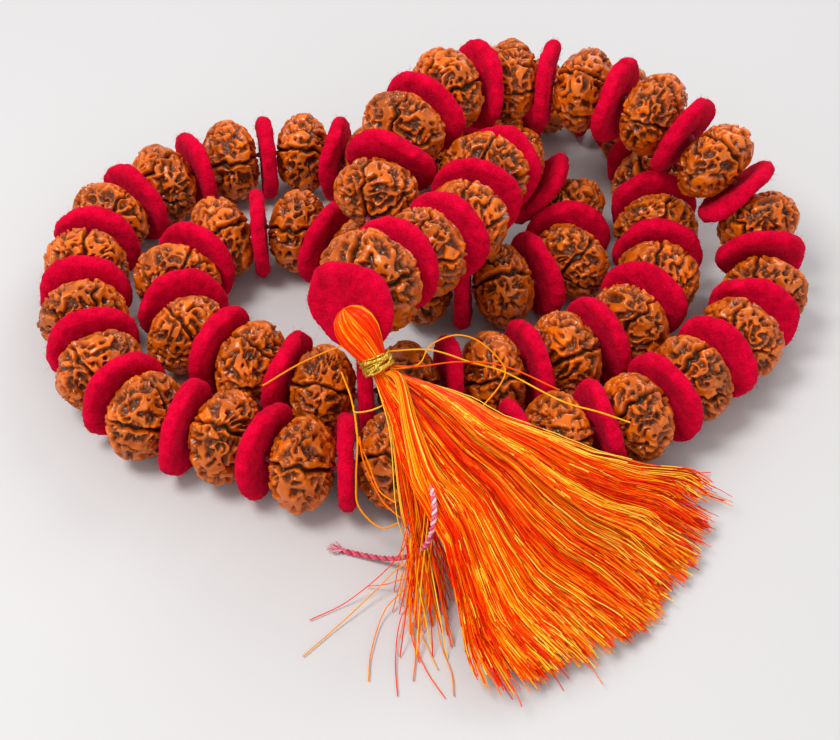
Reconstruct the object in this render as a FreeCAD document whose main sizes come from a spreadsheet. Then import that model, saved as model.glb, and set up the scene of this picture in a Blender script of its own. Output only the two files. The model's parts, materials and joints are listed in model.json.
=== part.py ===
import FreeCAD, Part
import math
import os
import Sketcher
from FreeCAD import Placement, Rotation, Vector

# A rudraksha mala lying loosely folded on a table: 53 strand beads and a guru bead on one
# stringing cord, a felt disc between every two beads, a silk tassel bound with gold thread,
# and the loose end of a twisted cord. +X is the width of the heap, -Y points to the tassel,
# +Z is up. The origin is on the table under the middle of the heap. Lengths are millimetres.

doc = FreeCAD.newDocument("mala")

# ---------------------------------------------------------------- driving dimensions
SIZES = {
    "bead_dia": 24.0,         # across the strand
    "bead_len": 17.0,         # along the bore
    "bead_shoulder": 5.8,     # radius of the rounded girdle
    "bore_dia": 4.6,
    "cleft_wide": 1.1,        # the five mouth lines of the nut
    "cleft_deep": 0.8,
    "guru_scale": 1.1,        # the guru bead is the largest
    "guru_bore": 6.0,         # two strands pass side by side
    "felt_dia": 25.0,
    "felt_thick": 3.2,
    "felt_round": 1.3,
    "felt_hole": 4.6,
    "cord_dia": 1.6,
    "room": 0.3,              # clear space between a bead and its felt
    "side_hole": 2.6,         # second hole in the felt behind the guru bead
    "head_wide": 10.4,        # tassel head across
    "head_long": 13.4,        # from the middle of the dome to the cut of the neck
    "neck_dia": 6.2,
    "gold_wire": 0.9,
    "tail_dia": 1.5,
}
dims = doc.addObject("Spreadsheet::Sheet", "dims")
for row, (alias, value) in enumerate(SIZES.items(), start=1):
    dims.set(f"A{row}", alias)
    dims.set(f"B{row}", str(value))
    dims.setAlias(f"B{row}", alias)
doc.recompute()


def size(alias):
    return float(dims.get(alias))


# ---------------------------------------------------------------- route of the strand
# One point for the middle of each bead, in the order of the strand. MIDDLE moves every
# point of the heap, so that the origin lies under the middle of it.
MIDDLE = Vector(-0.75, 9.75, 0)
TOP_ARC = [
    (-11.5, 11.5, 38), (-5, 31.5, 44.5), (7, 49.5, 45), (25, 60, 41),
    (46, 56, 40.5), (64.5, 44.5, 40.5), (80.5, 31.5, 34), (93.5, 22, 19.5),
]
OUTER_RIGHT = [(93, 1.5, 12.5), (83.5, -17, 12.5), (69, -32, 12.5), (53.5, -45.5, 12.5)]
OUTER_FRONT = [
    (33.5, -52.5, 12.5), (13, -58.5, 12.5), (-8, -60, 12.5), (-29, -61, 12.5), (-48.5, -52, 12.5),
]
OUTER_LEFT = [
    (-69, -45, 12.5), (-82.5, -29, 12.5), (-90, -9, 12.5), (-92.5, 12, 12.5), (-89, 32.5, 12.5),
]
OUTER_BACK = [(-75.5, 49, 12.5), (-57, 60, 12.5), (-35.5, 63.5, 12.5), (-15, 58, 12.5)]
UNDERPASS = [
    (4.5, 68, 12.5), (21.5, 81, 12.5), (39, 93, 12.5), (62, 91.5, 12.5),
    (66.5, 69.5, 12.5), (67.5, 48.5, 12.5),
]
INNER_RIGHT = [(66.5, 27.5, 12.5), (64.5, 7, 12.5), (55, -11.5, 12.5)]
INNER_FRONT = [(37.5, -23.5, 12.5), (18, -31, 12.5), (-3.5, -35, 12.5), (-25, -36, 12.5)]
INNER_LEFT = [(-44, -27, 12.5), (-61.5, -15.5, 12.5), (-67, 5.5, 12.5), (-56.5, 24.5, 12.5)]
INNER_BACK = [(-35, 27.5, 12.5), (-17, 16, 12.5), (1, 5.5, 12.5)]
FOLD = [(22, 4, 12.5), (41, 14, 12.5), (42, 36.5, 12.5), (24.5, 41, 25.8)]
DOWN_TO_GURU = [(17, 22, 36.5), (11.5, 1.5, 37.3), (0.6, -15.2, 41)]
ROUTE = [
    Vector(*point) + MIDDLE
    for stretch in (
        TOP_ARC, OUTER_RIGHT, OUTER_FRONT, OUTER_LEFT, OUTER_BACK, UNDERPASS,
        INNER_RIGHT, INNER_FRONT, INNER_LEFT, INNER_BACK, FOLD, DOWN_TO_GURU,
    )
    for point in stretch
]
GURU = Vector(-12.5, -32.5, 46.5) + MIDDLE
GURU_AXIS = Vector(0.48, 0.86, -0.16).normalize()  # from the tassel end to the strand end

# ---------------------------------------------------------------- shape of one bead
# The bead's side is a girdle arc between two flatter end arcs, all tangent.
HALF_WIDE = size("bead_dia") / 2
HALF_LONG = size("bead_len") / 2
GIRDLE = size("bead_shoulder")
GIRDLE_AT = HALF_WIDE - GIRDLE                     # distance of the girdle arc's middle from the axis
END_DROP = (GIRDLE_AT**2 - (HALF_LONG - GIRDLE) ** 2) / (2 * (HALF_LONG - GIRDLE))
END_ARC = HALF_LONG + END_DROP                     # radius of the end arcs
GIRDLE_TURN = math.atan2(GIRDLE_AT, END_DROP)      # angle from the axis where the arcs meet
GUARD = 0.985                                      # beads stay a little inside their room


def reach(turned):
    """How far a bead reaches from its middle in a direction this angle from its bore."""
    if turned < GIRDLE_TURN:
        return END_ARC - END_DROP * math.cos(turned)
    return GIRDLE_AT * math.sin(turned) + GIRDLE


def angle_between(first, second):
    turned = first.getAngle(second)
    return min(turned, math.pi - turned)


def bead_axis(index):
    before = ROUTE[index - 1] if index > 0 else ROUTE[0]
    after = ROUTE[index + 1] if index + 1 < len(ROUTE) else GURU
    return (after - before).normalize()


def bead_scale(index):
    """Size of a bead: it fills half the distance to each neighbour, less half a felt."""
    axis = bead_axis(index)
    scale = 1.04 if index % 5 == 3 else 1.0
    for other in (index - 1, index + 1):
        if 0 <= other < len(ROUTE):
            step = ROUTE[other] - ROUTE[index]
            half_room = (step.Length - size("felt_thick")) / 2 - size("room")
            scale = min(scale, half_room / reach(angle_between(axis, step)))
    return scale * GUARD


def bead_spin(index):
    """Turn of a bead about its own bore, degrees."""
    return 137.5 * index % 360


def origin_part(body, role):
    return next(item for item in body.Origin.OriginFeatures if item.Role == role)


def label(item, name):
    item.Label = name
    return item


def tie_ends(sketch):
    """Joins every pair of line ends that lie on one point."""
    ends = [(edge, end, sketch.getPoint(edge, end))
            for edge in range(sketch.GeometryCount) for end in (1, 2)]
    for place, (edge, end, point) in enumerate(ends):
        for other, other_end, other_point in ends[place + 1:]:
            if other != edge and (point - other_point).Length < 1e-6:
                sketch.addConstraint(Sketcher.Constraint("Coincident", edge, end, other, other_end))


# ---------------------------------------------------------------- beads
def bead_outline(sketch, scale, bore_alias):
    """Half section of a bead: bore line, end arc, girdle arc, end arc."""
    bore = size(bore_alias) / 2
    wide_at = GIRDLE_AT * scale
    drop = END_DROP * scale
    end_radius = END_ARC * scale
    girdle = GIRDLE * scale
    bore_end = math.sqrt(end_radius**2 - bore**2) - drop
    meet = Vector(
        wide_at + girdle * math.sin(GIRDLE_TURN), girdle * math.cos(GIRDLE_TURN), 0
    )
    half = GIRDLE_TURN / 2
    top = Vector(bore, bore_end, 0)
    end_mid = Vector(end_radius * math.sin(half), end_radius * math.cos(half) - drop, 0)
    side = Vector(wide_at + girdle, 0, 0)
    low = Vector(bore, -bore_end, 0)
    low_mid = Vector(end_mid.x, -end_mid.y, 0)
    low_meet = Vector(meet.x, -meet.y, 0)
    sketch.addGeometry(
        [
            Part.LineSegment(low, top),
            Part.Arc(top, end_mid, meet),
            Part.Arc(meet, side, low_meet),
            Part.Arc(low_meet, low_mid, low),
        ]
    )
    tie_ends(sketch)


def cleft_outline(sketch, scale):
    """Area outside the floor of a cleft, wide enough to pass the bead's surface."""
    floor_at = (HALF_WIDE - size("cleft_deep")) * scale
    start = 0.42 * HALF_WIDE * scale
    rise = 0.80 * HALF_LONG * scale
    far = (HALF_WIDE + 1) * scale
    above = (HALF_LONG + 1) * scale
    top = Vector(start, rise, 0)
    low = Vector(start, -rise, 0)
    corners = [low, Vector(start, -above, 0), Vector(far, -above, 0),
               Vector(far, above, 0), Vector(start, above, 0), top]
    sketch.addGeometry(Part.Arc(top, Vector(floor_at, 0, 0), low))
    for first, second in zip(corners[:-1], corners[1:]):
        sketch.addGeometry(Part.LineSegment(first, second))
    tie_ends(sketch)


def make_bead(name, middle, axis, scale, spin, bore_alias="bore_dia"):
    body = doc.addObject("PartDesign::Body", name)
    outline = body.newObject("Sketcher::SketchObject", f"{name}_outline")
    outline.AttachmentSupport = [(origin_part(body, "XZ_Plane"), "")]
    outline.MapMode = "FlatFace"
    bead_outline(outline, scale, bore_alias)
    bore_line = outline.addConstraint(
        Sketcher.Constraint("DistanceX", -1, 1, 0, 1, size(bore_alias) / 2)
    )
    outline.setExpression(f"Constraints[{bore_line}]", f"dims.{bore_alias} / 2")
    nut = body.newObject("PartDesign::Revolution", f"{name}_nut")
    nut.Profile = outline
    nut.ReferenceAxis = (origin_part(body, "Z_Axis"), [""])
    nut.Angle = 360
    line = body.newObject("Sketcher::SketchObject", f"{name}_line")
    line.AttachmentSupport = [(origin_part(body, "XZ_Plane"), "")]
    line.MapMode = "FlatFace"
    cleft_outline(line, scale)
    cleft = body.newObject("PartDesign::Pocket", f"{name}_cleft")
    cleft.Profile = line
    cleft.Midplane = True
    cleft.setExpression("Length", "dims.cleft_wide")
    clefts = body.newObject("PartDesign::PolarPattern", f"{name}_clefts")
    clefts.Originals = [cleft]
    clefts.Axis = (origin_part(body, "Z_Axis"), [""])
    clefts.Angle = 360
    clefts.Occurrences = 5
    body.Tip = clefts
    turn = Rotation(Vector(0, 0, 1), axis) * Rotation(Vector(0, 0, 1), spin)
    body.Placement = Placement(middle, turn)
    return label(body, name)


sub_parts = []
for index, middle in enumerate(ROUTE):
    sub_parts.append(
        make_bead(f"bead_{index + 1:02d}", middle, bead_axis(index), bead_scale(index),
                  bead_spin(index))
    )
sub_parts.append(
    make_bead("guru_bead", GURU, GURU_AXIS, size("guru_scale"), bead_spin(len(ROUTE)), "guru_bore")
)


# ---------------------------------------------------------------- felt discs
def make_felt(name, middle, normal, scale, hole_at):
    """A washer with a rounded rim, pierced square to its faces at hole_at."""
    disc = doc.addObject("Part::Cylinder", f"{name}_disc")
    disc.setExpression("Radius", f"dims.felt_dia / 2 * {scale:.3f}")
    disc.setExpression("Height", "dims.felt_thick")
    rim = doc.addObject("Part::Fillet", f"{name}_rim")
    rim.Base = disc
    rim.Edges = [(edge, size("felt_round"), size("felt_round")) for edge in (1, 3)]
    turn = Rotation(Vector(0, 0, 1), normal)
    beside = turn.inverted().multVec(hole_at - middle)
    hole = doc.addObject("Part::Cylinder", f"{name}_hole")
    hole.setExpression("Radius", "dims.felt_hole / 2")
    hole.setExpression("Height", "dims.felt_thick * 3")
    hole.Placement.Base = Vector(beside.x, beside.y, 0)
    hole.setExpression("Placement.Base.z", "-dims.felt_thick")
    felt = doc.addObject("Part::Cut", name)
    felt.Base = rim
    felt.Tool = hole
    felt.Placement = Placement(middle - normal * size("felt_thick") / 2, turn)
    return felt


def felt_scale(index):
    """Felts in a tight bend are a little narrower, so that their rims stay apart."""
    return min(1.0, (bead_scale(index) + bead_scale(index + 1)) / 2 / 0.965)


# The cord leaves and enters each bead in line with its bore. Each felt lies midway between
# two beads, and is pierced where the cord passes, half way between two such mouths.
PAST_END = 0.5                                     # a mouth is this far out of the bead's end
SIDE = Vector(-GURU_AXIS.y, GURU_AXIS.x, 0).normalize()
STRAND_APART = 0.95                                # of each strand from the guru bead's axis


def mouths(index):
    """The points where the cord enters and leaves a strand bead."""
    half = bead_axis(index) * (HALF_LONG * bead_scale(index) + PAST_END)
    return ROUTE[index] - half, ROUTE[index] + half


guru_out = GURU_AXIS * (HALF_LONG * size("guru_scale") + PAST_END)
guru_mouth = GURU + guru_out
first_mouth = mouths(0)[0]
last_mouth = mouths(len(ROUTE) - 1)[1]
rear_normal = (GURU_AXIS - bead_axis(len(ROUTE) - 1)).normalize()
rear_middle = (guru_mouth + last_mouth) / 2
guru_side_mouth = guru_mouth + SIDE * STRAND_APART
leave = (first_mouth - guru_side_mouth).normalize()
to_felt = (rear_middle - guru_side_mouth).dot(rear_normal) / leave.dot(rear_normal)
pierce_at = guru_side_mouth + leave * to_felt

front_middle = GURU - GURU_AXIS * (
    HALF_LONG * size("guru_scale") + size("room") + size("felt_thick") / 2
)

# ---------------------------------------------------------------- cords
def make_tube(name, wire, start, direction, dia_alias):
    """Round tube along a wire that starts at start in the given direction."""
    spine = doc.addObject("Part::Feature", f"{name}_route")
    spine.Shape = wire
    ring = doc.addObject("Part::Circle", f"{name}_ring")
    ring.setExpression("Radius", f"dims.{dia_alias} / 2")
    ring.Placement = Placement(start, Rotation(Vector(0, 0, 1), direction))
    tube = doc.addObject("Part::Sweep", name)
    tube.Sections = [ring]
    tube.Spine = (spine, [f"Edge{number + 1}" for number in range(len(wire.Edges))])
    tube.Solid = True
    tube.Frenet = False
    return label(tube, name)


def rounded_wire(points):
    """Straight runs joined by tangent arcs, and the radii of the arcs."""
    edges = []
    radii = []
    start = points[0]
    for before, corner, after in zip(points[:-2], points[1:-1], points[2:]):
        into = (corner - before).normalize()
        out = (after - corner).normalize()
        run = min((corner - before).Length, (after - corner).Length)
        turned = into.getAngle(out)
        cut = 0.45 * run
        radius = cut / math.tan(turned / 2)
        arc_start = corner - into * cut
        arc_end = corner + out * cut
        inward = (out - into).normalize()
        to_middle = radius / math.cos(turned / 2)
        arc_mid = corner + inward * (to_middle - radius)
        edges.append(Part.LineSegment(start, arc_start).toShape())
        edges.append(Part.Arc(arc_start, arc_mid, arc_end).toShape())
        start = arc_end
        radii.append(radius)
    edges.append(Part.LineSegment(start, points[-1]).toShape())
    return Part.Wire(edges), radii


# The stringing cord runs straight through each bead and bends where it leaves the bead for
# the felt. Both its ends lie side by side in the guru bead and stop inside the front felt.
NEAR_BEAD = 4                                      # the slack strand turns in this far from bead 1
string_points = [
    front_middle + SIDE * STRAND_APART,
    guru_side_mouth,
    pierce_at,
    first_mouth - leave * NEAR_BEAD - bead_axis(0),
]
for index in range(len(ROUTE)):
    string_points += mouths(index)
string_points += [
    guru_mouth - SIDE * STRAND_APART,
    front_middle - SIDE * STRAND_APART,
]
string_wire, string_radii = rounded_wire(string_points)
string_start = (string_points[1] - string_points[0]).normalize()
sub_parts.append(
    make_tube("stringing_cord", string_wire, string_points[0], string_start, "cord_dia")
)
print("stringing_cord radii", [round(r, 1) for r in string_radii])

# ---------------------------------------------------------------- the felts in place
felts = []
for index in range(len(ROUTE) - 1):
    normal = (ROUTE[index + 1] - ROUTE[index]).normalize()
    middle = (ROUTE[index] + ROUTE[index + 1]) / 2
    hole_at = (mouths(index)[1] + mouths(index + 1)[0]) / 2
    felts.append(make_felt(f"felt_{index + 1:02d}", middle, normal, felt_scale(index), hole_at))

# The felt behind the guru bead has a second, slanting hole for the slack strand of bead 1.
rear_felt = make_felt("felt_rear", rear_middle, rear_normal, 1.0, rear_middle)
slant_wire, _ = rounded_wire(string_points[:4])
slant = make_tube("felt_rear_slant", slant_wire, string_points[0], GURU_AXIS, "side_hole")
felt_rear_pierced = doc.addObject("Part::Cut", "felt_rear_pierced")
felt_rear_pierced.Base = rear_felt
felt_rear_pierced.Tool = slant
felts.append(felt_rear_pierced)
felts.append(make_felt("felt_front", front_middle, GURU_AXIS, 1.0, front_middle))
felt_discs = doc.addObject("Part::Compound", "felt_discs")
felt_discs.Links = felts
sub_parts.append(label(felt_discs, "felt_discs"))


# The loose end of the tassel's cord lies over the left edge of the skirt and down to the table.
TAIL = [
    Vector(-5, -62, 42.3), Vector(-1.9, -77, 37.3), Vector(3.1, -86, 30), Vector(2.2, -91.4, 22),
    Vector(-0.5, -87.8, 12), Vector(-5.7, -83.4, 4), Vector(-12.4, -80.6, 1.2), Vector(-19.2, -78.4, 1),
]
tail_points = [point + MIDDLE for point in TAIL]
tail_wire, tail_radii = rounded_wire(tail_points)
tail_start = (tail_points[1] - tail_points[0]).normalize()
cord_tail = make_tube("cord_tail", tail_wire, tail_points[0], tail_start, "tail_dia")
sub_parts.append(cord_tail)
print("cord_tail length", round(tail_wire.Length, 1), "radii", [round(r, 1) for r in tail_radii])

# ---------------------------------------------------------------- tassel
DOME = Vector(-15.3, -52, 49.5) + MIDDLE           # middle of the head's dome, where it swings
NECK = Vector(-8.6, -58, 39.6) + MIDDLE
HEAD_UP = (DOME - NECK).normalize()


def make_head():
    """Folded silk: a round dome that narrows to the tied neck. Local Z runs up through it."""
    body = doc.addObject("PartDesign::Body", "tassel_head")
    half = body.newObject("Sketcher::SketchObject", "head_half")
    half.AttachmentSupport = [(origin_part(body, "XZ_Plane"), "")]
    half.MapMode = "FlatFace"
    wide = size("head_wide") / 2
    neck = size("neck_dia") / 2
    low = -size("head_long")
    neck_top = low + 6.5
    top = Vector(0, wide, 0)
    side = Vector(wide, 0, 0)
    waist = Vector(neck, neck_top, 0)
    foot = Vector(neck, low, 0)
    axis_foot = Vector(0, low, 0)
    quarter = Vector(wide * math.sin(math.radians(45)), wide * math.cos(math.radians(45)), 0)
    half.addGeometry(
        [
            Part.LineSegment(axis_foot, top),
            Part.Arc(top, quarter, side),
            Part.LineSegment(side, waist),
            Part.LineSegment(waist, foot),
            Part.LineSegment(foot, axis_foot),
        ]
    )
    tie_ends(half)
    neck_line = half.addConstraint(Sketcher.Constraint("DistanceX", -1, 1, 3, 1, neck))
    half.setExpression(f"Constraints[{neck_line}]", "dims.neck_dia / 2")
    turned = body.newObject("PartDesign::Revolution", "head_turned")
    turned.Profile = half
    turned.ReferenceAxis = (origin_part(body, "Z_Axis"), [""])
    turned.Angle = 360
    body.Tip = turned
    body.Placement = Placement(DOME, Rotation(Vector(0, 0, 1), HEAD_UP))
    return label(body, "tassel_head")


def make_binding():
    """Gold thread wound round the neck, one ring for each turn."""
    rings = []
    turns = 5
    for turn in range(turns):
        ring = doc.addObject("Part::Torus", f"gold_turn_{turn + 1}")
        ring.setExpression("Radius1", "dims.neck_dia / 2 + dims.gold_wire / 2 + 0.05")
        ring.setExpression("Radius2", "dims.gold_wire / 2")
        ring.setExpression(
            "Placement.Base.z", f"-dims.head_long + 1 + dims.gold_wire * 0.92 * {turn + 0.5}"
        )
        rings.append(ring)
    binding = doc.addObject("Part::MultiFuse", "gold_binding")
    binding.Shapes = rings
    binding.Placement = Placement(DOME, Rotation(Vector(0, 0, 1), HEAD_UP))
    return label(binding, "gold_binding")


# Cross sections of the skirt: how far along it, how far its middle is to the side, half width,
# half thickness, height of the middle above the table, and roll in degrees (the free side
# hangs lower than the side that rests on the beads).
SKIRT_SECTIONS = [
    (1, 0, 3, 2.4, 38.2, 0),
    (8, 0, 7, 2.8, 36.5, 0),
    (16, -0.5, 12, 3.1, 33, 2),
    (24, -1, 14.5, 3, 29.5, 5),
    (33, 1.5, 18.5, 2.7, 23.5, 8),
    (42, 2, 25, 2.5, 16, 8),
    (50, 3, 32, 2.4, 10.5, 5),
    (58, 6, 38, 2.2, 6, 3),
    (66, 6, 37, 1.9, 3.2, 1),
    (74, 6, 23, 1.3, 1.9, 0),
]
SKIRT_AZIMUTH = -40
SKIRT_SIDES = 10


def make_skirt():
    """The cut silk threads, spread like a fan over the front of the strand."""
    body = doc.addObject("PartDesign::Body", "tassel_skirt")
    sections = []
    for number, (along, side, wide, thick, height, roll) in enumerate(SKIRT_SECTIONS):
        section = body.newObject("Sketcher::SketchObject", f"skirt_section_{number + 1}")
        section.AttachmentSupport = [(origin_part(body, "YZ_Plane"), "")]
        section.MapMode = "FlatFace"
        section.AttachmentOffset = Placement(Vector(0, 0, along), Rotation())
        middle = Vector(side, height, 0)
        lean = Vector(math.cos(math.radians(roll)), math.sin(math.radians(roll)), 0)
        upright = Vector(-lean.y, lean.x, 0)
        rim = [
            middle + lean * wide * math.cos(turn) + upright * thick * math.sin(turn)
            for turn in (2 * math.pi * side_number / SKIRT_SIDES for side_number in range(SKIRT_SIDES))
        ]
        section.addGeometry(
            [Part.LineSegment(first, second) for first, second in zip(rim, rim[1:] + rim[:1])]
        )
        tie_ends(section)
        sections.append(section)
    fan = body.newObject("PartDesign::AdditiveLoft", "skirt_fan")
    fan.Profile = sections[0]
    fan.Sections = sections[1:]
    fan.Ruled = True
    body.Tip = fan
    foot = Vector(NECK.x, NECK.y, 0)
    body.Placement = Placement(foot, Rotation(Vector(0, 0, 1), SKIRT_AZIMUTH))
    return label(body, "tassel_skirt")


sub_parts += [make_head(), make_binding(), make_skirt()]

# ---------------------------------------------------------------- checks and export
doc.recompute()
for item in doc.Objects:
    if "Invalid" in item.State or "Error" in item.State:
        raise RuntimeError(f"{item.Name}: {item.State}")
tail_volume = math.pi * (size("tail_dia") / 2) ** 2 * tail_wire.Length
string_volume = math.pi * (size("cord_dia") / 2) ** 2 * string_wire.Length
print("cord_tail volume ratio", round(cord_tail.Shape.Volume / tail_volume, 4))
for part in sub_parts:
    if part.Shape.isNull() or not part.Shape.isValid():
        raise RuntimeError(f"{part.Label}: bad shape")
    if part.Label == "stringing_cord":
        print("stringing_cord length", round(string_wire.Length, 1), "volume ratio",
              round(part.Shape.Volume / string_volume, 4))

os.makedirs("parts", exist_ok=True)
for part in sub_parts:
    part.Shape.exportStep(f"parts/{part.Label}.step")
print(len(sub_parts), "sub-parts")
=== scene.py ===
import json
import math

import bpy
import numpy as np
from mathutils import Matrix, Vector


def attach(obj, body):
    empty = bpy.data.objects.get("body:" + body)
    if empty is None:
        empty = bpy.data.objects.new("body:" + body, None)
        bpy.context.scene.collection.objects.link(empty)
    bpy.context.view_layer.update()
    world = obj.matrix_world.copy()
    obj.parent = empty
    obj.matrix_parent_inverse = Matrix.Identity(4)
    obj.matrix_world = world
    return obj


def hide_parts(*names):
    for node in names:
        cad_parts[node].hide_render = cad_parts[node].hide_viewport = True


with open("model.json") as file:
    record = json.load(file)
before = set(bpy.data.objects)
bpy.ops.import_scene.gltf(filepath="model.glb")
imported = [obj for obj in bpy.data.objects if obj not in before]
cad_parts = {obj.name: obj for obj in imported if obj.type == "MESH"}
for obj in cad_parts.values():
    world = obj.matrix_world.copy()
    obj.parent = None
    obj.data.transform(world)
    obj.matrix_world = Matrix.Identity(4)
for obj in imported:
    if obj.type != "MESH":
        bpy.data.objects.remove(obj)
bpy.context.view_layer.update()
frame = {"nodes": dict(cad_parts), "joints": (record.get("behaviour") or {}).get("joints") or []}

# A rudraksha mala in a loose heap, in metres. Sizes written in millimetres are times MM.
MM = 0.001
# Moves every listed point, as in the CAD, so that the heap stands centred.
MIDDLE = np.array([-0.75, 9.75, 0])
rng = np.random.default_rng(108)
bpy.context.scene.view_settings.view_transform = "Standard"

# ---------------------------------------------------------------- camera
LOOKS_DOWN = 44.8                                   # degrees below level
camera_data = bpy.data.cameras.new("camera")
camera_data.lens = 66                               # mm, on a sensor 36 mm wide
camera_data.clip_start = 0.01
camera = bpy.data.objects.new("camera", camera_data)
camera.location = (-0.00125, -0.30025, 0.292)
camera.rotation_euler = (math.radians(90 - LOOKS_DOWN), 0, 0)
bpy.context.collection.objects.link(camera)
bpy.context.scene.camera = camera


# ---------------------------------------------------------------- mesh helpers
def new_mesh(name, points, faces, attributes=None):
    """Mesh from points in mm. attributes holds one number per point under each name."""
    mesh = bpy.data.meshes.new(name)
    mesh.from_pydata((np.asarray(points) * MM).tolist(), [], faces)
    for key, values in (attributes or {}).items():
        layer = mesh.attributes.new(key, "FLOAT", "POINT")
        layer.data.foreach_set("value", np.asarray(values, dtype=np.float32))
    mesh.polygons.foreach_set("use_smooth", np.ones(len(mesh.polygons), dtype=bool))
    mesh.update()
    return mesh


def place(name, mesh, material, matrix=None):
    """Stands a mesh in the scene. A mesh that several pieces share gets its material once."""
    piece = bpy.data.objects.new(name, mesh)
    bpy.context.collection.objects.link(piece)
    if not mesh.materials:
        mesh.materials.append(material)
    if matrix is not None:
        piece.matrix_world = matrix
    return piece


def grid_faces(rows, columns, wrap_rows=False):
    """Quads of a sheet of points that closes round its columns, and its rows if asked."""
    row = np.arange(rows if wrap_rows else rows - 1)[:, None]
    column = np.arange(columns)[None, :]
    after = (column + 1) % columns
    below = (row + 1) % rows
    corners = [row * columns + column, row * columns + after, below * columns + after,
               below * columns + column]
    return np.stack([np.broadcast_to(c, (row.size, columns)) for c in corners], -1).reshape(-1, 4)


def unit(vectors):
    return vectors / np.maximum(np.linalg.norm(vectors, axis=-1, keepdims=True), 1e-9)


SIDES = 3                                           # of a hair or a thread of silk


def tubes(paths, radii, sides=SIDES):
    """Points and quads of one thin tube along each path. paths is threads x steps x 3."""
    paths = np.asarray(paths, dtype=float)
    radii = np.broadcast_to(np.asarray(radii, dtype=float), paths.shape[:2])
    along = unit(np.gradient(paths, axis=1))
    aside = unit(np.cross(along, [0.31, 0.17, 0.94]))   # a direction that no thread keeps to
    up = np.cross(along, aside)
    turn = np.arange(sides) * 2 * math.pi / sides
    ring = (np.cos(turn)[:, None] * aside[:, :, None, :]
            + np.sin(turn)[:, None] * up[:, :, None, :])
    points = paths[:, :, None, :] + ring * radii[:, :, None, None]
    threads, steps = paths.shape[:2]
    one = grid_faces(steps, sides)
    faces = (np.arange(threads)[:, None, None] * steps * sides + one[None]).reshape(-1, 4)
    return points.reshape(-1, 3), faces


def smooth_path(points, steps):
    """A Catmull-Rom curve through points, at evenly spaced steps."""
    points = np.asarray(points, dtype=float)
    padded = np.vstack([2 * points[0] - points[1], points, 2 * points[-1] - points[-2]])
    spans = len(points) - 1
    at = np.linspace(0, spans - 1e-6, steps)
    k = at.astype(int)
    t = (at - k)[:, None]
    a, b, c, d = padded[k], padded[k + 1], padded[k + 2], padded[k + 3]
    return 0.5 * (2 * b + (c - a) * t + (2 * a - 5 * b + 4 * c - d) * t**2
                  + (3 * b - a - 3 * c + d) * t**3)


def waves(points, length, count, seed, spread=0.12):
    """Noise of one wavelength: many plane waves in random directions. About -2 to 2."""
    made = np.random.default_rng(seed)
    direction = unit(made.normal(size=(count, 3)))
    direction *= (2 * math.pi / length) * (1 + spread * made.normal(size=(count, 1)))
    phase = made.uniform(0, 2 * math.pi, count)
    return np.cos(points @ direction.T + phase).sum(axis=1) * math.sqrt(2 / count)


def step(low, high, value):
    """0 before low, 1 after high and a smooth rise between. Falls where high is below low."""
    t = np.clip((value - low) / (high - low), 0, 1)
    return t * t * (3 - 2 * t)


# ---------------------------------------------------------------- material helpers
class Shader:
    """A Principled material with short names for the nodes that feed it."""

    def __init__(self, name, **sockets):
        self.material = bpy.data.materials.new(name)
        self.material.use_nodes = True
        self.tree = self.material.node_tree
        self.principled = self.tree.nodes["Principled BSDF"]
        for key, value in sockets.items():
            self.principled.inputs[key.replace("_", " ")].default_value = value

    def node(self, kind, inputs=None, **settings):
        node = self.tree.nodes.new(kind)
        for key, value in settings.items():
            setattr(node, key, value)
        for key, value in (inputs or {}).items():
            if isinstance(value, bpy.types.NodeSocket):
                self.tree.links.new(value, node.inputs[key])
            else:
                node.inputs[key].default_value = value
        return node

    def attribute(self, name):
        return self.node("ShaderNodeAttribute", attribute_name=name).outputs["Fac"]

    def noise(self, scale, detail=4, roughness=0.55):
        where = self.node("ShaderNodeTexCoord").outputs["Object"]
        return self.node("ShaderNodeTexNoise", {"Vector": where, "Scale": scale, "Detail": detail,
                                                "Roughness": roughness}).outputs["Fac"]

    def math(self, operation, first, second):
        return self.node("ShaderNodeMath", {0: first, 1: second}, operation=operation).outputs[0]

    def speckled(self, value, noise, amount):
        """value with a noise round zero added to it."""
        centred = self.math("SUBTRACT", noise, 0.5)
        return self.math("ADD", value, self.math("MULTIPLY", centred, amount))

    def roughness(self, value, low, high, start=0, stop=1):
        """Feeds a roughness that goes from low to high while value goes from start to stop."""
        node = self.node("ShaderNodeMapRange", {"Value": value, "From Min": start, "From Max": stop,
                                                "To Min": low, "To Max": high})
        self.feed("Roughness", node.outputs["Result"])

    def ramp(self, value, stops):
        ramp = self.node("ShaderNodeValToRGB", {"Fac": value})
        points = ramp.color_ramp.elements
        for place_at, color in stops[2:]:
            points.new(place_at)
        for point, (place_at, color) in zip(points, stops):
            point.position = place_at
            point.color = (*color, 1)
        return ramp.outputs["Color"]

    def mix(self, amount, first, second, blend="MIX"):
        node = self.node("ShaderNodeMix", data_type="RGBA", blend_type=blend)
        for socket, value in ((0, amount), (6, first), (7, second)):
            if isinstance(value, bpy.types.NodeSocket):
                self.tree.links.new(value, node.inputs[socket])
            else:
                node.inputs[socket].default_value = value
        return node.outputs[2]

    def feed(self, socket, value):
        self.tree.links.new(value, self.principled.inputs[socket])

    def bump(self, height, strength, distance):
        node = self.node("ShaderNodeBump", {"Height": height, "Strength": strength,
                                            "Distance": distance})
        self.feed("Normal", node.outputs["Normal"])


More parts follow.
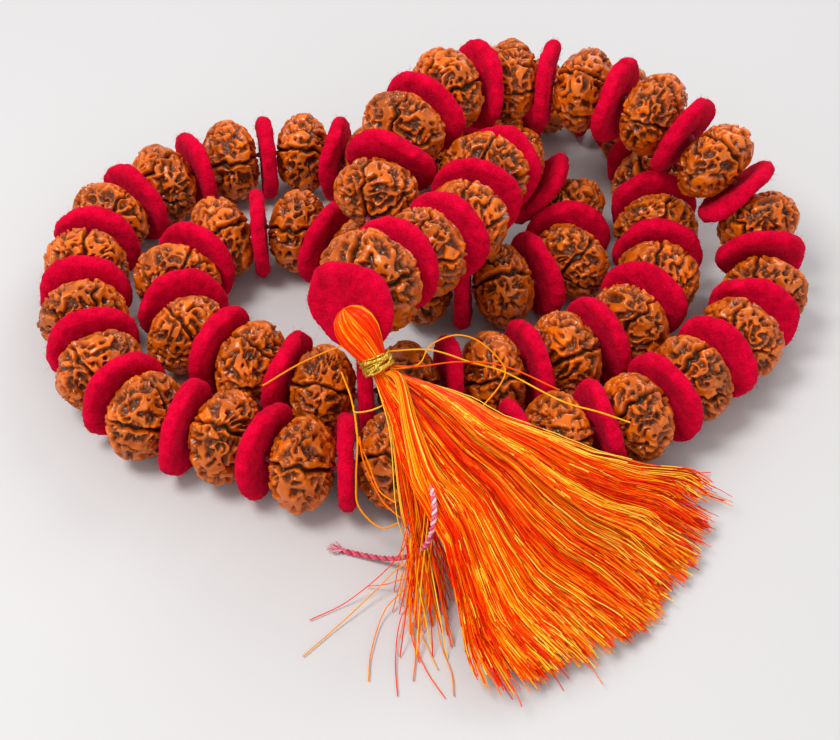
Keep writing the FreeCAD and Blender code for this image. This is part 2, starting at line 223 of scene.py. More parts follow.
def nut_material():
    shader = Shader("varnished_nut", Coat_Weight=0.45, Coat_Roughness=0.10,
                    Specular_IOR_Level=0.32, Specular_Tint=(1.0, 0.60, 0.36, 1))
    # The colour follows the depth of the relief: near black in the pits and orange on the ridge
    # tops. This is partly the nut's own darker hollows and partly painted shade in the pits.
    level = shader.speckled(shader.attribute("height"), shader.noise(900, 3), 0.30)
    color = shader.ramp(level, [
        (0.0, (0.022, 0.005, 0.001)), (0.20, (0.090, 0.017, 0.001)), (0.42, (0.28, 0.052, 0.001)),
        (0.66, (0.50, 0.086, 0.001)), (0.86, (0.66, 0.128, 0.001)), (1.0, (0.78, 0.180, 0.004)),
    ])
    patch = shader.ramp(shader.noise(130, 2), [
        (0.35, (0.66, 0.60, 0.55)), (0.66, (1.10, 1.04, 1.0)),
    ])
    color = shader.mix(1.0, color, patch, "MULTIPLY")
    color = shader.mix(shader.attribute("tone"), color, (0.07, 0.020, 0.008, 1))
    shader.feed("Base Color", color)
    shader.roughness(level, 0.62, 0.32, 0.1, 0.9)
    shader.bump(shader.noise(1500, 5, 0.6), 0.35, 0.0004)
    return shader.material


def felt_material():
    shader = Shader("red_felt", Roughness=0.95, Sheen_Weight=0.10, Sheen_Roughness=0.4,
                    Sheen_Tint=(1.0, 0.10, 0.25, 1))
    shader.principled.inputs["Specular IOR Level"].default_value = 0.05
    cloud = shader.noise(260, 5, 0.65)
    fiber = shader.noise(1900, 3, 0.6)
    level = shader.math("ADD", shader.math("MULTIPLY", cloud, 0.6),
                        shader.math("MULTIPLY", fiber, 0.4))
    shader.feed("Base Color", shader.ramp(level, [
        (0.30, (0.30, 0.0, 0.012)), (0.50, (0.62, 0.0, 0.026)), (0.70, (0.90, 0.001, 0.048)),
    ]))
    shader.bump(level, 0.9, 0.0012)
    return shader.material


def silk_material(name, stops):
    shader = Shader(name, Roughness=0.36, Specular_Tint=(1.0, 0.62, 0.12, 1))
    shader.principled.inputs["Specular IOR Level"].default_value = 0.35
    level = shader.speckled(shader.attribute("tint"), shader.noise(350, 2), 0.12)
    shader.feed("Base Color", shader.ramp(level, stops))
    shader.roughness(shader.noise(2500, 2), 0.24, 0.50)
    return shader.material


def gold_material():
    shader = Shader("gold_thread", Metallic=1.0, Roughness=0.28)
    shader.feed("Base Color", shader.ramp(shader.noise(1400, 3), [
        (0.30, (0.42, 0.20, 0.015)), (0.50, (0.80, 0.50, 0.04)), (0.70, (1.0, 0.83, 0.22)),
    ]))
    shader.bump(shader.noise(3200, 2), 0.8, 0.0006)
    shader.roughness(shader.noise(1200, 2), 0.16, 0.42)
    return shader.material


def twine_material(name, stops):
    shader = Shader(name, Roughness=0.85, Sheen_Weight=0.3)
    level = shader.speckled(shader.attribute("tint"), shader.noise(2200, 3), 0.5)
    shader.feed("Base Color", shader.ramp(level, stops))
    shader.bump(shader.noise(4000, 2), 0.5, 0.0003)
    return shader.material


NUT = nut_material()
FELT = felt_material()
SILK = silk_material("tassel_silk", [
    (0.0, (0.50, 0.002, 0.0)), (0.24, (0.88, 0.010, 0.0)), (0.46, (1.0, 0.055, 0.0)),
    (0.66, (1.0, 0.20, 0.0)), (0.83, (1.0, 0.42, 0.004)), (1.0, (1.0, 0.68, 0.07)),
])
GOLD = gold_material()
TWINE = twine_material("tail_twine", [
    (0.15, (0.42, 0.012, 0.05)), (0.45, (0.72, 0.05, 0.13)), (0.85, (0.90, 0.55, 0.58)),
])
STRING = twine_material("string_twine", [(0.2, (0.20, 0.004, 0.012)), (0.8, (0.50, 0.02, 0.05))])


def rest(piece, body, slot, *nodes):
    """Puts a piece on its body and lets it stand for the CAD nodes. slot is not used."""
    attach(piece, body)
    if nodes:
        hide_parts(*nodes)


# ---------------------------------------------------------------- the loose end of the cord
def route_points(name, points):
    """Evenly read points of the smooth spline that has these control points, in mm."""
    curve = bpy.data.curves.new(name, "CURVE")
    curve.dimensions = "3D"
    curve.resolution_u = 16
    spline = curve.splines.new("NURBS")
    spline.points.add(len(points) - 1)
    for point, where in zip(spline.points, points):
        point.co = (*(MM * value for value in where), 1)
    spline.order_u = 3
    spline.use_endpoint_u = True
    carrier = bpy.data.objects.new(name, curve)
    bpy.context.collection.objects.link(carrier)
    line = bpy.data.meshes.new_from_object(carrier)
    found = np.array([vertex.co[:] for vertex in line.vertices]) / MM
    bpy.data.objects.remove(carrier)
    return found


PLY_STEP = 0.16                                     # mm between the rings of a ply


def twisted(center, apart, radius, pitch, plies, sides):
    """Plies wound round a centre line: points, faces and which ply each point is on."""
    step_lengths = np.linalg.norm(np.diff(center, axis=0), axis=1)
    run = np.concatenate([[0], np.cumsum(step_lengths)])
    even = np.linspace(0, run[-1], int(run[-1] / PLY_STEP))
    line = np.stack([np.interp(even, run, center[:, axis]) for axis in range(3)], -1)
    along = unit(np.gradient(line, axis=0))
    aside = unit(np.cross(along, [0.2, 0.1, 0.97]))     # a direction that no cord keeps to
    up = np.cross(along, aside)
    paths = []
    for ply in range(plies):
        turn = (2 * math.pi * (even / pitch + ply / plies))[:, None]
        paths.append(line + apart * (np.cos(turn) * aside + np.sin(turn) * up))
    points, faces = tubes(paths, radius, sides)
    return points, faces, np.repeat(np.arange(plies) / max(plies - 1, 1), len(even) * sides)


TAIL = [(-5, -62, 42.3), (-1.9, -77, 37.3), (3.1, -86, 30), (2.2, -91.4, 22), (-0.5, -87.8, 12),
        (-5.7, -83.4, 4), (-12.4, -80.6, 1.2), (-19.2, -78.4, 1)]
tail_line = route_points("tail_route", TAIL) + MIDDLE
PLIES, PLY_SIDES = 2, 8
points, faces, ply = twisted(tail_line, apart=0.32, radius=0.36, pitch=2.4, plies=PLIES,
                             sides=PLY_SIDES)
down = np.linspace(0, 1, len(points) // (PLIES * PLY_SIDES))    # 0 at the neck, 1 at the end
pale = np.tile(np.repeat(0.42 * step(0.62, 0.40, down), PLY_SIDES), PLIES)
tail_mesh = new_mesh("cord_tail_twine", points, faces, {"tint": 0.12 + 0.34 * ply + pale})
tail = place("cord_tail_twine", tail_mesh, TWINE)
rest(tail, "tassel", "twisted_cord", "cord_tail")

end = tail_line[-1]
HAIRS, HAIR_STEPS = 34, 8
fray = []
for _ in range(HAIRS):
    away = np.array([-1.6, 0.45, 0]) * rng.uniform(0.8, 2.0) + rng.normal(size=3) * (0.5, 0.7, 0.35)
    fray.append(smooth_path([end + (1.2, -0.35, 0), end, end + 0.55 * away + (0, 0, 0.25),
                             end + away + (0, 0, 0.1)], HAIR_STEPS))
fray = np.array(fray)
fray[..., 2] = np.maximum(fray[..., 2], 0.25)       # no hair goes into the table
points, faces = tubes(fray, 0.11)
fray_mesh = new_mesh("cord_tail_fray", points, faces,
                     {"tint": np.repeat(rng.uniform(0.3, 1.0, HAIRS), HAIR_STEPS * SIDES)})
tail_fray = place("cord_tail_fray", fray_mesh, TWINE)
rest(tail_fray, "tassel", "twisted_cord")

# ---------------------------------------------------------------- rudraksha beads
# The outline of a nut in mm: an arc of the first radius round its girdle, with its middle the
# second distance from the axis, then half the length of the nut and the radius of the bore's mouth.
# A flatter arc, of radius END_ARC, runs into the girdle and closes each end.
GIRDLE, GIRDLE_AT, HALF_LONG, BORE = 5.8, 6.2, 8.5, 2.2
NUT_RADIUS, TUNNEL = 12, 1.25                       # of the whole nut, and of the bore inside it
END_DROP = (GIRDLE_AT**2 - (HALF_LONG - GIRDLE) ** 2) / (2 * (HALF_LONG - GIRDLE))
END_ARC = HALF_LONG + END_DROP
GIRDLE_TURN = math.atan2(GIRDLE_AT, END_DROP)


def turned(radius, high, around):
    """Points of an outline turned round the Z axis, row by row."""
    return np.stack([np.outer(radius, np.cos(around)), np.outer(radius, np.sin(around)),
                     np.outer(high, np.ones(len(around)))], -1).reshape(-1, 3)


def bead_outline(count):
    """Radius, height and outward direction down the side of a bead, evenly spaced."""
    turn = np.linspace(math.asin(BORE / END_ARC), math.pi - math.asin(BORE / END_ARC), 4000)
    from_end = np.minimum(turn, math.pi - turn)
    flat = from_end < GIRDLE_TURN
    radius = np.where(flat, END_ARC * np.sin(from_end), GIRDLE_AT + GIRDLE * np.sin(from_end))
    high = np.where(flat, END_ARC * np.cos(from_end) - END_DROP, GIRDLE * np.cos(from_end))
    high = np.where(turn > math.pi / 2, -high, high)
    run = np.concatenate([[0], np.cumsum(np.hypot(np.diff(radius), np.diff(high)))])
    pick = np.interp(np.linspace(0, run[-1], count), run, np.arange(turn.size))
    return [np.interp(pick, np.arange(turn.size), row) for row in (radius, high, turn)]


ROWS, COLUMNS = ((112, 202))


def bead_mesh(number):
    """One nut: knotted ridges with pits between them, and a cleft along each of five lines."""
    radius, high, turn = bead_outline(ROWS)
    around = np.arange(COLUMNS) * 2 * math.pi / COLUMNS
    made = np.random.default_rng(number)
    seed = number * 10
    out = turned(np.sin(turn), np.cos(turn), around)
    base = turned(radius, high, around)
    # ridges (worm) and flat tops (shelf) stand up, with knots along their edges and holes in them
    bent = base + 0.8 * np.stack([waves(base, 8, 16, seed + k) for k in range(3)], -1)
    knot = waves(bent, 2.3, 48, seed + 5)
    crumb = waves(base, 1.5, 40, seed + 6)
    lump = waves(base, 11, 14, seed + 7)
    worm = step(0.36, 0.64, 1 - np.abs(waves(bent, 4.7, 56, seed + 4)) / 1.25 + 0.14 * knot)
    shelf = step(0.45, 0.80, waves(bent, 3.8, 48, seed + 2) + 0.15 * knot)
    hole = step(1.05, 1.40, waves(base, 2.7, 48, seed + 8))
    top = np.maximum(worm, shelf)
    height = top * (0.88 + 0.10 * waves(base, 4, 20, seed + 1)) + 0.07 * crumb * (1.2 - top)
    height -= 0.95 * hole * top
    # the five clefts, each with a raised lip on both sides
    longitude = np.arctan2(base[:, 1], base[:, 0])
    across = np.hypot(base[:, 0], base[:, 1])
    wander = 0.045 * waves(base, 5.0, 20, seed + 9)
    first = made.uniform(0, 2 * math.pi)
    gap = (longitude + wander - first + math.pi / 5) % (2 * math.pi / 5) - math.pi / 5
    off = np.abs(gap) * across
    groove = np.exp(-((off / 0.42) ** 2))
    lip = np.exp(-(((off - 1.15) / 0.65) ** 2))
    height = height * (1 - 0.5 * np.exp(-((off / 1.7) ** 2))) + 0.50 * lip - 1.15 * groove
    height = np.clip(height, -0.45, 1.08)
    near_end = step(0.80, 0.97, np.abs(base[:, 2]) / HALF_LONG)
    lift = -1.30 + 1.55 * height * (1 - 0.35 * near_end) + 0.18 * lump
    lift = np.minimum(lift, 0.62 - 0.5 * near_end)
    points = base + out * lift[:, None]
    tunnel_high = np.array([-0.86, -0.5, 0.5, 0.86]) * HALF_LONG
    tunnel = turned(np.full(tunnel_high.size, TUNNEL), tunnel_high, around)
    points = np.vstack([points, tunnel])
    # shade, stored as the height attribute, darkens the pits: partly the nut's own darker hollows,
    # partly painted shade. The wall of the bore gets 0, the darkest colour, as painted shade inside
    # the bore.
    dark = np.zeros(len(tunnel))
    shade = np.concatenate([np.clip((height + 0.30) / 1.30, 0, 1), dark])
    tone = np.concatenate([np.clip(0.10 * waves(base, 14, 12, seed + 3), 0, 0.35), dark])
    faces = grid_faces(ROWS + tunnel_high.size, COLUMNS, wrap_rows=True)[:, ::-1]
    return new_mesh(f"nut_{number}", points, faces.tolist(), {"height": shade, "tone": tone})


def standing(middle, axis, roll, size=1.0):
    """Matrix that puts local Z along axis at middle, turned by roll and scaled."""
    turn = Vector(axis).to_track_quat("Z", "Y").to_matrix().to_4x4()
    return (Matrix.Translation(Vector(middle)) @ turn @ Matrix.Rotation(roll, 4, "Z")
            @ Matrix.Scale(size, 4))


def node_points(name):
    mesh = frame["nodes"][name].data
    points = np.empty(len(mesh.vertices) * 3)
    mesh.vertices.foreach_get("co", points)
    return points.reshape(-1, 3)


lift = next(joint for joint in frame["joints"] if joint["child"] == "tassel")
dome = np.array(lift["pos_m"]) / MM
spins = {joint["child"]: joint for joint in frame["joints"] if joint["child"] != "tassel"}
NUT_SHAPES = 9
nuts = [bead_mesh(number + 1) for number in range(NUT_SHAPES)]
for number, (body, joint) in enumerate(sorted(spins.items())):
    middle, axis = np.array(joint["pos_m"]), unit(np.array(joint["axis"]))
    reach = node_points(body) - middle
    wide = np.linalg.norm(reach - np.outer(reach @ axis, axis), axis=1).max()
    size = wide / (NUT_RADIUS * MM)
    flip = 1 if number % 2 else -1                  # every second nut is strung the other way round
    matrix = standing(middle, axis * flip, rng.uniform(0, 2 * math.pi), size)
    nut = place(f"{body}_nut", nuts[(number * 4) % NUT_SHAPES], NUT, matrix)
    rest(nut, body, "rudraksha", body)


# ---------------------------------------------------------------- felt discs
def felt_mesh(number, inner=1.9):
    """A pressed wool washer with a soft rim and loose fibres standing off it."""
    made = np.random.default_rng(700 + number)
    half, rim, soft = 1.6, 12.2, 1.9                # half thickness, radius, roundness of the rim
    # from the wall of the hole out over the top, round the rim and back underneath
    corner = np.linspace(0, math.pi / 2, 6)
    face = np.linspace(inner + 0.9, rim - soft - 0.2, 11)
    side = [(inner, -0.8), (inner, 0.8), (inner + 0.3, 1.4)]
    side += [(r, half + 0.4 * (r / face[-1]) ** 2) for r in face]
    side += [(rim - soft + soft * math.sin(a), 2 - soft + soft * math.cos(a)) for a in corner]
    side += [(r, -z) for r, z in side[:2:-1]] + [(inner + 0.3, -1.4)]
    profile = np.array(side)
    columns = 120
    around = np.arange(columns) * 2 * math.pi / columns
    points = turned(profile[:, 0], profile[:, 1], around)
    flat = points * (1, 1, 0)
    wave = waves(flat, 19, 10, 710 + number)
    rough = waves(points, 3.2, 30, 720 + number) + 0.6 * waves(points, 1.5, 30, 730 + number)
    outer = np.hypot(points[:, 0], points[:, 1]) / rim
    swell = 1 + 0.020 * waves(flat, 12, 10, 740 + number)
    points[:, :2] *= np.where(outer > 0.4, swell, 1)[:, None]
    points[:, 2] *= 1 + 0.04 * wave
    points[:, 2] += 0.42 * wave * outer**2
    out = unit(np.stack([points[:, 0], points[:, 1], np.sign(points[:, 2]) * 8], -1))
    points += out * (0.085 * rough)[:, None]
    faces = grid_faces(len(profile), columns, wrap_rows=True)
    fibres = 620
    spot = made.integers(0, len(points), fibres)
    root = points[spot]
    rise = out[spot] + made.normal(size=(fibres, 3)) * 0.55
    lean = unit(made.normal(size=(fibres, 3)))
    length = made.uniform(0.25, 0.85, fibres)[:, None]
    paths = np.stack([root - out[spot] * 0.2, root + rise * length * 0.45,
                      root + rise * length * 0.75 + lean * length * 0.45,
                      root + rise * length * 0.8 + lean * length * 1.0], 1)
    hair_points, hair_faces = tubes(paths, 0.028)
    return new_mesh(f"felt_{number}", np.vstack([points, hair_points]),
                    faces.tolist() + (hair_faces + len(points)).tolist())


def loose_parts(name):
    """The separate shells of a CAD node, as arrays of points."""
    mesh = frame["nodes"][name].data
    points = node_points(name)
    parent = np.arange(len(points))
    edges = np.empty(len(mesh.edges) * 2, dtype=int)
    mesh.edges.foreach_get("vertices", edges)
    merged = {}
    for index, key in enumerate(map(tuple, np.round(points, 7))):
        parent[index] = merged.setdefault(key, index)

    def top(index):
        while parent[index] != index:
            parent[index] = parent[parent[index]]
            index = parent[index]
        return index

    for first, second in edges.reshape(-1, 2):
        parent[top(first)] = top(second)
    owner = np.array([top(index) for index in range(len(points))])
    return [points[owner == one] for one in np.unique(owner)]


FELT_SHAPES = 8
FELT_RADIUS = 12.5                                  # of the CAD discs, in mm
NEAR_HEAD = 12                                      # mm; only the front disc is so near the dome
felt_shapes = [felt_mesh(number) for number in range(FELT_SHAPES)]
front_shape = felt_mesh(FELT_SHAPES, inner=0.3)     # its hole is squeezed shut by the tassel head
for number, shell in enumerate(loose_parts("felt_discs")):
    middle = (shell.max(axis=0) + shell.min(axis=0)) / 2
    _, directions = np.linalg.eigh(np.cov((shell - middle).T))
    normal = directions[:, 0]
    wide = np.linalg.norm((shell - middle) @ directions[:, 1:], axis=1).max()
    size = wide / (FELT_RADIUS * MM)
    shape = felt_shapes[number % FELT_SHAPES]
    to_head = dome * MM - middle
    if np.linalg.norm(to_head) < NEAR_HEAD * MM:
        # the front disc is the smallest and sits off its hole, towards the head
        size *= 0.94
        shape = front_shape
        middle = middle + 0.20 * (to_head - normal * (to_head @ normal))
    matrix = standing(middle, normal, rng.uniform(0, 2 * math.pi), size)
    felt = place(f"felt_disc_{number + 1:02d}", shape, FELT, matrix)
    rest(felt, "strand", "red_felt", "felt_discs")

# ---------------------------------------------------------------- stringing cord
order = [joint for _, joint in sorted(spins.items()) if joint["child"] != "guru_bead"]
guru = spins["guru_bead"]
guru_at, guru_axis = np.array(guru["pos_m"]) / MM, unit(np.array(guru["axis"]))
BEAD_END, GURU_END = 8.6, 9.8                       # mm from the middle of a bead to past its end
BESIDE = np.array([0.8, -0.4, 0])                   # the two ends lie side by side in the guru bead
string = [guru_at, guru_at + guru_axis * GURU_END - BESIDE]
for joint in order:
    middle, axis = np.array(joint["pos_m"]) / MM, unit(np.array(joint["axis"]))
    string += [middle - axis * BEAD_END, middle, middle + axis * BEAD_END]
string += [guru_at + guru_axis * GURU_END + BESIDE, guru_at + BESIDE]
points, faces, ply = twisted(smooth_path(string, 2200), apart=0.36, radius=0.42, pitch=2.8,
                             plies=2, sides=6)
cord_mesh = new_mesh("stringing_twine", points, faces, {"tint": 0.3 + 0.4 * ply})
cord = place("stringing_twine", cord_mesh, STRING)
rest(cord, "strand", "stringing_cord", "stringing_cord")

# ---------------------------------------------------------------- tassel head
NECK = np.array([-8.6, -58, 39.6]) + MIDDLE
head_up = unit(dome - NECK)
side_x = unit(np.cross([0, 0, 1.0], head_up))
side_y = np.cross(head_up, side_x)
# down the head, 0 at the top and 1 inside the binding: radius, and height above the dome's middle
HEAD = np.array([(0, 0.2, 5.15), (0.08, 2.3, 4.6), (0.18, 3.9, 3.3), (0.32, 4.9, 1.0),
                 (0.46, 4.95, -1.6), (0.62, 4.15, -4.6), (0.80, 3.1, -7.8), (1.0, 2.6, -11.6)])


def in_head(across, turn, up):
    """Points round the head's own axis: distance from it, angle, height above the dome's middle."""
    return (dome + across[..., None] * (np.cos(turn)[..., None] * side_x
            + np.sin(turn)[..., None] * side_y) + up[..., None] * head_up)


def head_outline(t):
    """Radius and height of the silk, t of the way down the head."""
    return np.interp(t, HEAD[:, 0], HEAD[:, 1]), np.interp(t, HEAD[:, 0], HEAD[:, 2])


count, steps = ((520, 30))
t = np.linspace(0, 1, steps)[None, :]
across, up = head_outline(t)
layer = rng.uniform(0.86, 1.0, (count, 1))
turn = rng.uniform(0, 2 * math.pi, (count, 1))
turn = turn + 0.105 * np.sin(2.2 * t + rng.uniform(0, 6, (count, 1))) + 0.5 * t
paths = in_head(across * layer, turn, np.broadcast_to(up, turn.shape))
HEAD_SIDES = 4
points, faces = tubes(paths, 0.20, HEAD_SIDES)
tint = np.clip(0.45 + 0.13 * np.sin(3 * turn[:, :1]) + 0.17 * rng.normal(size=(count, 1)), 0.05, 1)
tint = np.repeat(np.broadcast_to(tint, (count, steps)).reshape(-1), HEAD_SIDES)
head = place("tassel_head_silk", new_mesh("tassel_head_silk", points, faces, {"tint": tint}), SILK)
rest(head, "tassel", "tassel_silk", "tassel_head")

rows, columns = 24, 40
core_across, core_up = head_outline(np.linspace(0, 1, rows))
core_turn = np.arange(columns) * 2 * math.pi / columns
core = in_head(*np.broadcast_arrays(core_across[:, None] * 0.9, core_turn, core_up[:, None]))
core_mesh = new_mesh("tassel_head_core", core.reshape(-1, 3), grid_faces(rows, columns).tolist(),
                     {"tint": np.full(rows * columns, 0.2)})
core_piece = place("tassel_head_core", core_mesh, SILK)
rest(core_piece, "tassel", "tassel_silk")

# ---------------------------------------------------------------- gold binding
BINDING_UP = -9.5                                   # its height above the dome's middle
turns, per_turn = 7, 44                             # wound up and down, with three turns across
wind = np.linspace(0, 1, turns * per_turn)
angle = wind * turns * 2 * math.pi
paths = [in_head(3.30 + 0.22 * np.sin(angle * 0.37) + 0.25 * wind, angle,
                 BINDING_UP - 1.45 * np.cos(wind * math.pi * 3) + 0.9 * np.cos(angle))]
for tilt in (0.9, -0.8, 0.4):
    angle = np.linspace(0, 2 * math.pi, turns * per_turn)
    paths.append(in_head(np.full_like(angle, 3.75), angle + tilt,
                         BINDING_UP - 0.2 + 1.5 * np.sin(angle) * tilt))
points, faces = tubes(np.array(paths), 0.34, 6)
binding = place("gold_binding_thread", new_mesh("gold_binding_thread", points, faces), GOLD)
rest(binding, "tassel", "gold_thread", "gold_binding")

# ---------------------------------------------------------------- tassel skirt
HEADING = math.radians(-40)
ahead = np.array([math.cos(HEADING), math.sin(HEADING), 0])
aside = np.array([-ahead[1], ahead[0], 0])
NECK_FOOT = NECK * (1, 1, 0)                        # the point of the table below the neck
# how far along the skirt, its middle to the side, half width, half thickness and height in mm,
# and its roll in degrees
SKIRT = np.array([
    (0, 0, 2.6, 2.2, 38.6, 0), (8, 0, 7, 2.7, 36.5, 0), (16, -0.5, 12, 3.0, 33, 2),
    (24, -1, 14.5, 2.9, 29.5, 5), (33, 1.5, 18.5, 2.6, 23.5, 8), (42, 2, 25, 2.4, 16, 8),
    (50, 3, 32, 2.2, 10.5, 5), (58, 6, 38, 2.0, 6, 3), (66, 6, 40, 1.7, 3.4, 1),
    (75, 5, 42, 1.3, 2.2, 0), (90, 3, 44, 1.0, 1.6, 0),
])


def skirt_point(along, spread, layer):
    """A point of the skirt: spread is -1 at its left edge and 1 at its right, layer -1 to 1."""
    side, wide, thick, high, roll = (np.interp(along, SKIRT[:, 0], column)
                                     for column in SKIRT.T[1:])
    lean = np.radians(roll)
    body = np.sqrt(np.clip(1 - spread**2, 0.03, 1)) * thick * layer
    off = side + np.cos(lean) * wide * spread - np.sin(lean) * body
    z = high + np.sin(lean) * wide * spread + np.cos(lean) * body
    where = NECK_FOOT + along[..., None] * ahead + off[..., None] * aside
    where[..., 2] = z
    return where


def skirt_end(spread):
    """How far along the skirt the threads at this spread are cut."""
    return np.interp(spread, [-1, -0.8, -0.45, 0, 0.4, 0.75, 1.0], [49, 64, 72, 77, 76, 71, 63])


threads, steps = ((3400, 30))
locks = 72                                          # the threads hang together in locks
lock_spread = np.sort(rng.uniform(-1, 1, locks))
lock_layer = rng.uniform(-0.9, 1.0, locks)
lock_tint = np.clip(0.45 + 0.20 * rng.normal(size=locks), 0.05, 0.95)
lock_drift = rng.normal(size=locks)
lock = rng.integers(0, locks, threads)
spread0 = np.clip(lock_spread[lock] + rng.normal(size=threads) * 0.029, -1, 1)
layer0 = np.clip(lock_layer[lock] + rng.normal(size=threads) * 0.35, -1, 1)
# the tips are cut unevenly, lock by lock, and one thread in ten is short
cut = skirt_end(spread0) * (0.955 - 0.045 * np.abs(rng.normal(size=threads)))
cut += 3.0 * np.clip(lock_drift[lock], -1.8, 0.8) - 0.3
cut = np.where(rng.random(threads) < 0.10, cut * rng.uniform(0.72, 0.97, threads), cut)
s = np.linspace(0, 1, steps)[None, :]
along = cut[:, None] * s
# a thread strays from its lock on the way down, and the lock closes again towards its tip
wiggle = 0.010 * np.sin(s * rng.uniform(3, 9, (threads, 1)) + rng.uniform(0, 6.3, (threads, 1)))
wild = rng.random((threads, 1)) < 0.16
stray = (0.045 + 0.13 * wild) * rng.normal(size=(threads, 1))
bunch = (lock_spread[lock] - spread0)[:, None] * step(0.45, 1.0, s) * 0.8
drift = 0.03 * lock_drift[lock][:, None] * s
spread = np.clip(spread0[:, None] + (wiggle + stray + bunch + drift) * s, -1.06, 1.06)
layer = np.clip(layer0[:, None] + 0.20 * np.sin(s * 4 + lock_drift[lock][:, None] * 3), -1, 1.1)
paths = skirt_point(along, spread, layer)
# the threads start inside the binding, not at the neck itself
gathered = NECK_FOOT + (0, 0, SKIRT[0, 4])
paths[:, 0] = NECK + head_up * 2.8 + 0.9 * (paths[:, 0] - gathered)
paths += 0.05 * rng.normal(size=paths.shape) * (s > 0.1)[..., None]
lifted = step(0.8, 1.0, s) * np.abs(rng.normal(size=(threads, 1))) * 1.2
paths[..., 2] = np.maximum(paths[..., 2] + lifted, 0.35)
radii = 0.165 * (1 - 0.25 * s) * rng.uniform(0.75, 1.3, (threads, 1))
tint = np.clip(lock_tint[lock] + 0.28 * rng.normal(size=threads), 0, 1)[:, None] + 0.08 * (s - 0.4)
tint = np.broadcast_to(tint, (threads, steps))
PARTS = 4                                           # pieces of the skirt, none of them too large
for part in range(PARTS):
    mine = slice(part, None, PARTS)
    points, faces = tubes(paths[mine], radii[mine])
    silk = new_mesh(f"tassel_skirt_{part + 1}", points, faces,
                    {"tint": np.repeat(tint[mine].reshape(-1), SIDES)})
    skirt = place(f"tassel_skirt_{part + 1}", silk, SILK)
    rest(skirt, "tassel", "tassel_silk", "tassel_skirt")

# Threads that lie over the start of the cord, and sparse ones down the left of the skirt.
OVER_CORD, DOWN_LEFT, OVER_STEPS = 130, 110, 34
cord_top = tail_line[np.linspace(0, int(0.20 * len(tail_line)), 4).astype(int)]
to_cord = unit(cord_top[0] - NECK)
over = []
for _ in range(OVER_CORD):
    off = rng.normal() * 1.5
    start = NECK + head_up * 2 + to_cord * 2.6 + np.array([0.3, 0.1, 0]) * off
    lay = cord_top + (0, 0, 1.15 - 0.16 * off**2 + rng.uniform(-0.1, 0.3))
    lay += np.linspace(0.35, 1.1, 4)[:, None] * off * np.array([0.9, 0.35, 0])
    far = np.clip(-0.78 + 0.10 * off + 0.05 * rng.normal(), -1, 0)
    reach = np.array([31, 41, 51, 60 + 3 * rng.normal()]) - 3 * (far < -0.85)
    tail_end = skirt_point(reach, far + np.linspace(0, 0.05, 4) * rng.normal(), np.ones(4))
    over.append(smooth_path(np.vstack([start, lay, tail_end]), OVER_STEPS))
for _ in range(DOWN_LEFT):
    near = rng.normal(size=2) * (1.6, 1.8)
    rest_at = np.array([1.5, -94.5, 0]) + MIDDLE + rng.normal(size=3) * (4.5, 6.5, 0)
    mid = np.array([-1.2, -79.0, 19]) + MIDDLE + (*(near * 1.2), rng.uniform(-3, 4))
    start = NECK + (-1 + 0.4 * near[0], -0.5, rng.uniform(-1, 1.5))
    below = np.array([-5.2, -68, 32]) + MIDDLE + (*(near * 0.6), rng.uniform(-2, 2))
    over.append(smooth_path([start, below, mid, 0.45 * mid + 0.55 * rest_at + (0, 0, 0.8),
                             rest_at + (0, 0, 0.4)], OVER_STEPS))
over = np.array(over)
over[..., 2] = np.maximum(over[..., 2], 0.3)
points, faces = tubes(over, 0.15 * rng.uniform(0.8, 1.3, (len(over), 1)))
shade = np.repeat(np.clip(0.54 + 0.26 * rng.normal(size=len(over)), 0, 1), OVER_STEPS * SIDES)
cover_mesh = new_mesh("tassel_skirt_cover", points, faces, {"tint": shade})
cover = place("tassel_skirt_cover", cover_mesh, SILK)
rest(cover, "tassel", "tassel_silk")

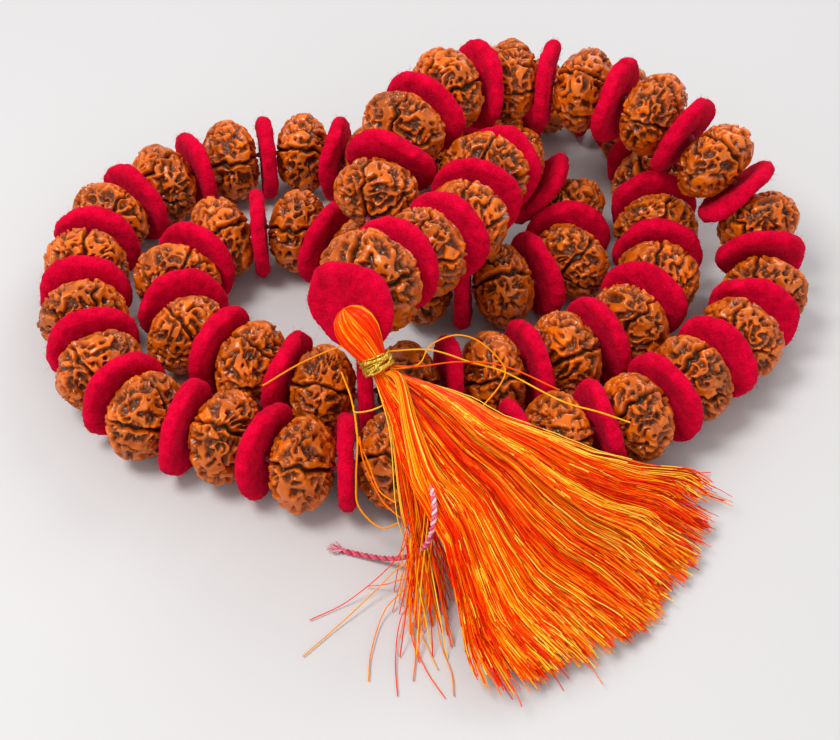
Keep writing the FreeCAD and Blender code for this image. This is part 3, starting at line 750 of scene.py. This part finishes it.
# ---------------------------------------------------------------- loose threads
# Each has its points in mm, thickness and how yellow it is.
LOOSE = {
    "left": ([(-8, -51, 41), (-16, -47, 39), (-20, -45.5, 37), (-29.5, -45, 31),
              (-38.5, -48.5, 27)], 0.22, 0.7),
    "long_right": ([(-8, -52, 42), (2, -47.5, 38), (11.5, -47.5, 34), (20, -48, 31),
                    (33, -55, 28.5), (42.5, -56.5, 26), (50, -56, 22)], 0.22, 0.84),
    "arc": ([(-7.5, -58, 42), (-1, -53.5, 39), (2, -48, 40), (8, -45.5, 41), (14, -46, 39),
             (19.5, -49, 34), (18.5, -54, 33), (14, -60.5, 32)], 0.19, 0.74),
    "orange_right": ([(-6.5, -57, 42), (-0.5, -55, 40), (9, -49.5, 36), (20, -47, 32),
                      (33, -51, 28)], 0.2, 0.5),
    "loop": ([(-19, -53, 36), (-16.5, -60, 34), (-15, -68, 30), (-15.5, -71.5, 19),
              (-15, -74, 12), (-10, -77, 8), (-5.5, -79, 12)], 0.24, 0.75),
    "loop_inner": ([(-15.5, -63, 33), (-15, -68, 30), (-12.5, -71, 24), (-10, -75, 19),
                    (-6, -78, 18)], 0.2, 0.7),
    "loop_low": ([(-14.5, -68, 30), (-13.5, -71.5, 25), (-9.5, -76, 17), (-5, -80, 15)], 0.2, 0.6),
    "short_left": ([(-16, -62, 34), (-15.5, -64, 34), (-12, -63.5, 34), (-8.5, -62.5, 35)],
                   0.2, 0.85),
    "floor_1": ([(-2.5, -83, 18), (-6.5, -87, 8), (-17, -93.5, 1.5), (-26, -98.5, 0.6)],
                0.14, 0.35),
    "floor_2": ([(-1.5, -86, 14), (-7.5, -89, 5), (-18, -99, 1.2), (-27, -108.5, 0.6)], 0.16, 0.75),
    "floor_3": ([(-0.5, -88.5, 10), (-6.5, -90, 4), (-13, -89, 0.8)], 0.14, 0.6),
    "floor_4": ([(-1, -88.5, 10), (-8.5, -96.5, 2), (-11.5, -107, 0.8), (-12, -115, 0.6)],
                0.16, 0.7),
    "floor_5": ([(-0.5, -90.5, 9), (-5, -99.5, 2), (-6, -109.5, 0.8), (-5.5, -119, 0.6)],
                0.14, 0.3),
    "floor_6": ([(0.5, -92, 9), (-2, -99.5, 2), (-1.5, -108, 0.8), (-2, -115, 0.6)], 0.15, 0.6),
    "floor_7": ([(1.5, -92.5, 8), (-2.5, -102, 2), (0.5, -111.5, 0.8), (5, -119.5, 0.6)],
                0.15, 0.5),
    "floor_8": ([(2, -92.5, 8), (4, -104.5, 1.5), (6.5, -113, 0.8), (7, -119, 0.6)], 0.15, 0.7),
    "floor_9": ([(1.5, -94, 8), (-0.5, -101, 2), (1.5, -107, 0.8), (3.5, -112, 0.6)], 0.14, 0.8),
    "right_1": ([(53.5, -59, 8), (64.5, -55.5, 3), (72.5, -53.5, 1)], 0.13, 0.3),
    "right_2": ([(53, -62, 8), (64, -59, 3), (71.5, -59.5, 1)], 0.13, 0.5),
    "right_3": ([(54.5, -62.5, 6), (66.5, -61, 2), (75, -62.5, 0.8)], 0.13, 0.2),
}
for name, (route, thick, yellow) in LOOSE.items():
    if name.startswith("floor"):                    # these come down out of the skirt
        route = [(-8, -60, 38.5), (-5, -68, 30)] + route
    path = smooth_path(route + MIDDLE, 60)[None]
    points, faces = tubes(path, thick, 5)
    piece = place(f"thread_{name}", new_mesh(f"thread_{name}", points, faces,
                  {"tint": np.full(len(points), yellow)}), SILK)
    rest(piece, "tassel", "tassel_silk")

# ---------------------------------------------------------------- floor and light
floor_mesh = bpy.data.meshes.new("floor")
floor_mesh.from_pydata([(-4, -4, 0), (4, -4, 0), (4, 4, 0), (-4, 4, 0)], [], [(0, 1, 2, 3)])
paper = Shader("paper", Base_Color=(0.565, 0.565, 0.567, 1), Roughness=0.9)
paper.principled.inputs["Specular IOR Level"].default_value = 0.1
floor = place("floor", floor_mesh, paper.material)


def area_light(name, where, power, size, color):
    """A square light that faces the middle of the heap."""
    data = bpy.data.lights.new(name, "AREA")
    data.energy = power
    data.size = size
    data.color = color
    lamp = bpy.data.objects.new(name, data)
    lamp.location = where
    lamp.rotation_euler = (-Vector(where)).to_track_quat("-Z", "Y").to_euler()
    bpy.context.collection.objects.link(lamp)


area_light("key", (-0.35, -0.15, 0.75), 5.0, 0.30, (1.0, 0.97, 0.96))
area_light("back", (0.35, 0.65, 0.60), 3.0, 0.45, (1.0, 0.98, 1.0))
area_light("front", (0.25, -0.80, 0.45), 2.0, 0.60, (1.0, 0.98, 0.97))
world = bpy.data.worlds.new("studio")
world.use_nodes = True
world.node_tree.nodes["Background"].inputs["Color"].default_value = (1, 0.99, 0.99, 1)
world.node_tree.nodes["Background"].inputs["Strength"].default_value = 0.62
bpy.context.scene.world = world
